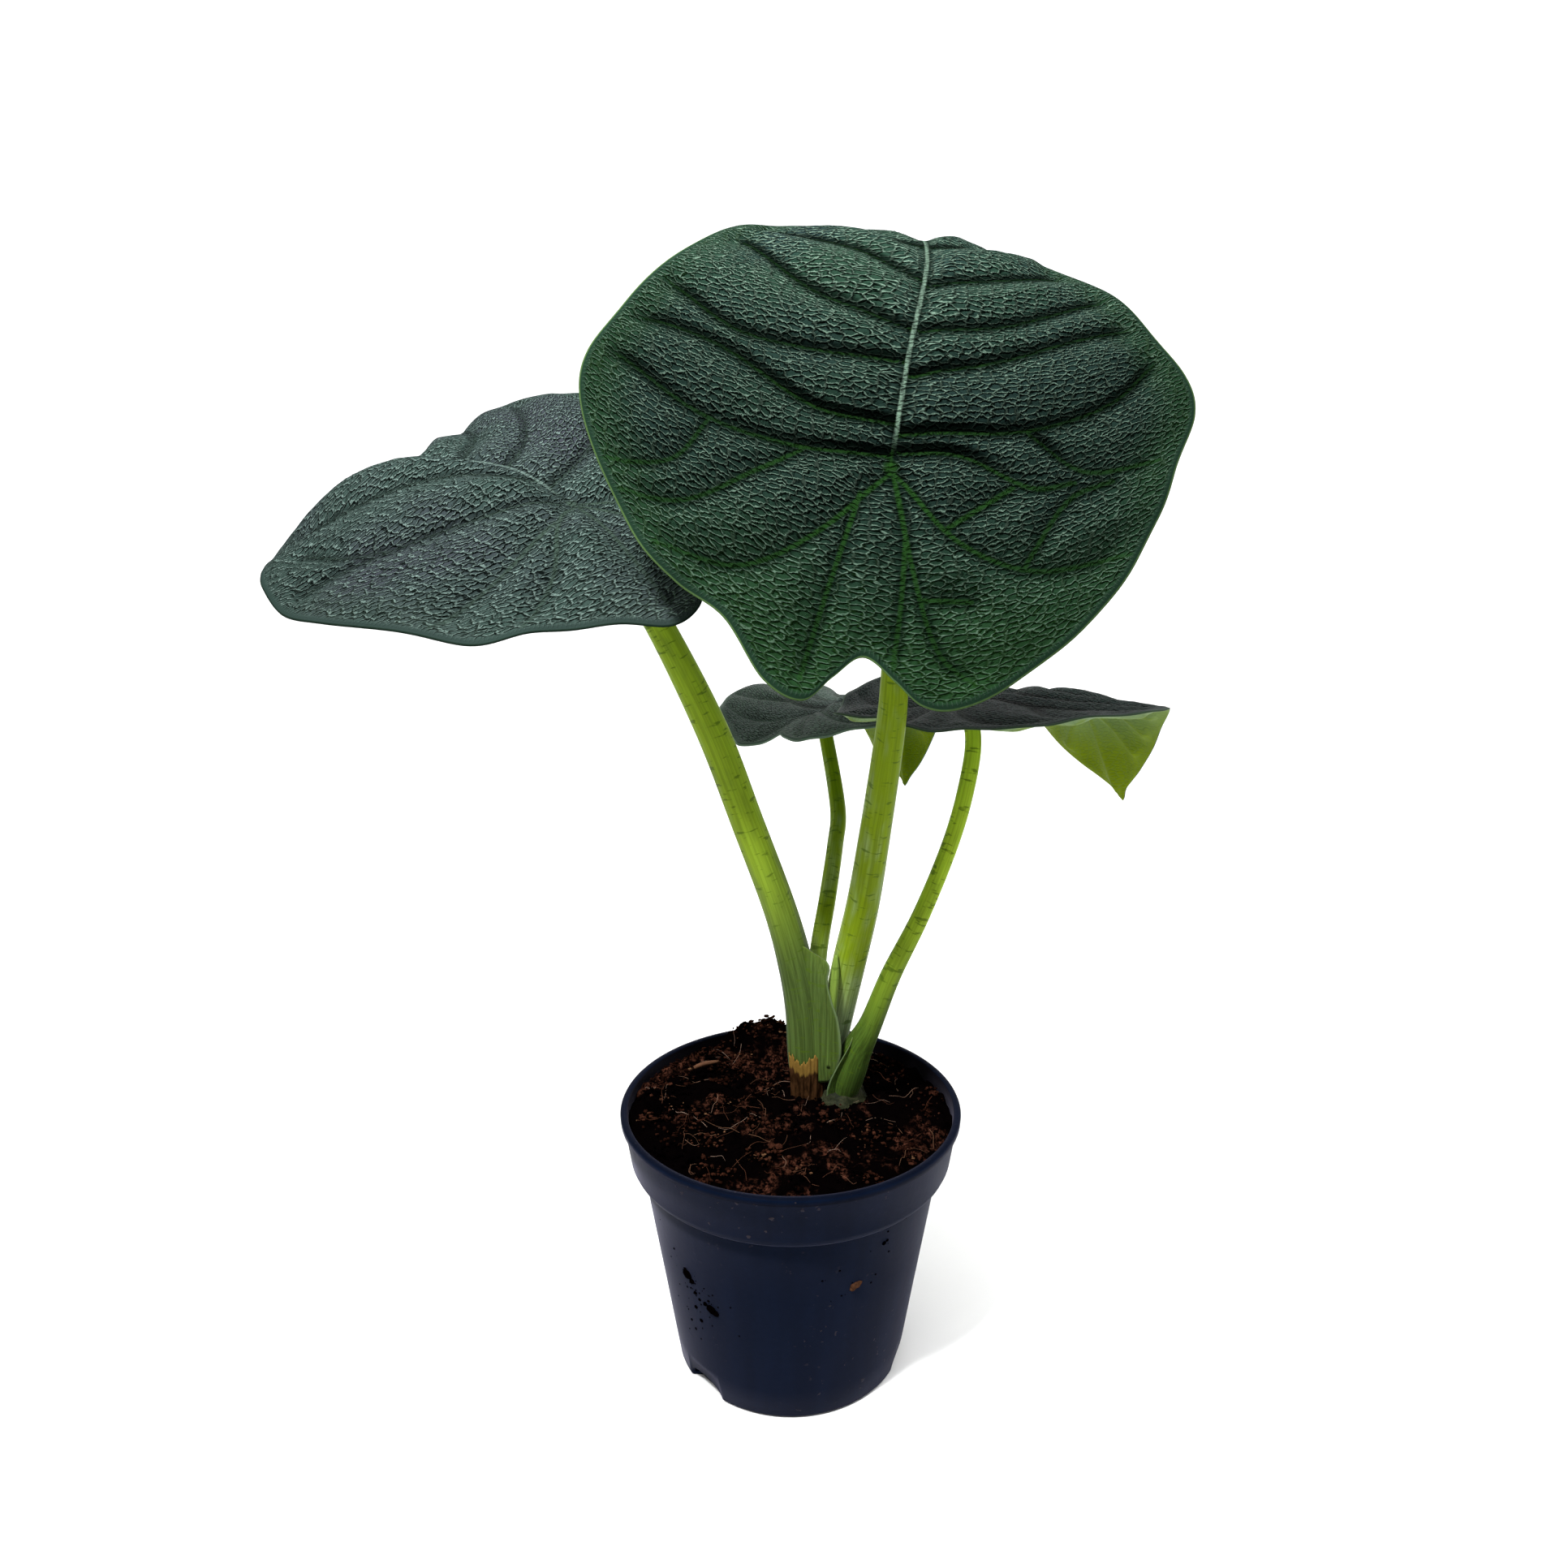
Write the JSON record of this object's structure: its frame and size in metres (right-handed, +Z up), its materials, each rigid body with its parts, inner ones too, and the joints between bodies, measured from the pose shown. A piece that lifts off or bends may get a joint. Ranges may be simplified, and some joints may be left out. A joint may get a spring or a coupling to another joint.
{
  "type": "potted plant",
  "caption": "Potted foliage plant with broad heart-shaped leaves, thick and quilted with a raised net, on fleshy stalks rising from soil in a round nursery pot.",
  "frame": {"origin": "middle of the pot's flat underside, on the surface it stands on", "axes": "+Z up, -Y toward the picture's camera, +X to the right in the picture"},
  "size_m": [0.3114, 0.2274, 0.3902],
  "materials": {
    "stalk": "fleshy yellow-green stalk, smooth and satin, with fine lengthwise lines",
    "blade_green": "thick deep green leaf with a paler raised net, satin",
    "blade_grey": "thick grey-green leaf with a paler raised net, satin",
    "blade_young": "nearly black-green young leaf, pale green underneath, satin",
    "shoot": "pale yellow-green rolled leaf, satin",
    "corm": "pale waxy rootstock, matte",
    "dry_scale": "dry papery tan sheath, matte",
    "soil": "moist dark potting mix of peat and coir, matte",
    "pot": "dark navy moulded plastic, satin"
  },
  "bodies": {
    "root": {"petiole_front": "stalk", "petiole_left": "stalk", "petiole_right": "stalk", "petiole_back": "stalk", "leaf_front": "blade_green", "leaf_left": "blade_grey", "leaf_back": "blade_young", "leaf_right": "blade_young", "new_shoot": "shoot", "corm_with_roots": "corm", "dried_sheath": "dry_scale", "potting_soil": "soil", "nursery_pot": "pot"}
  },
  "joints": []
}
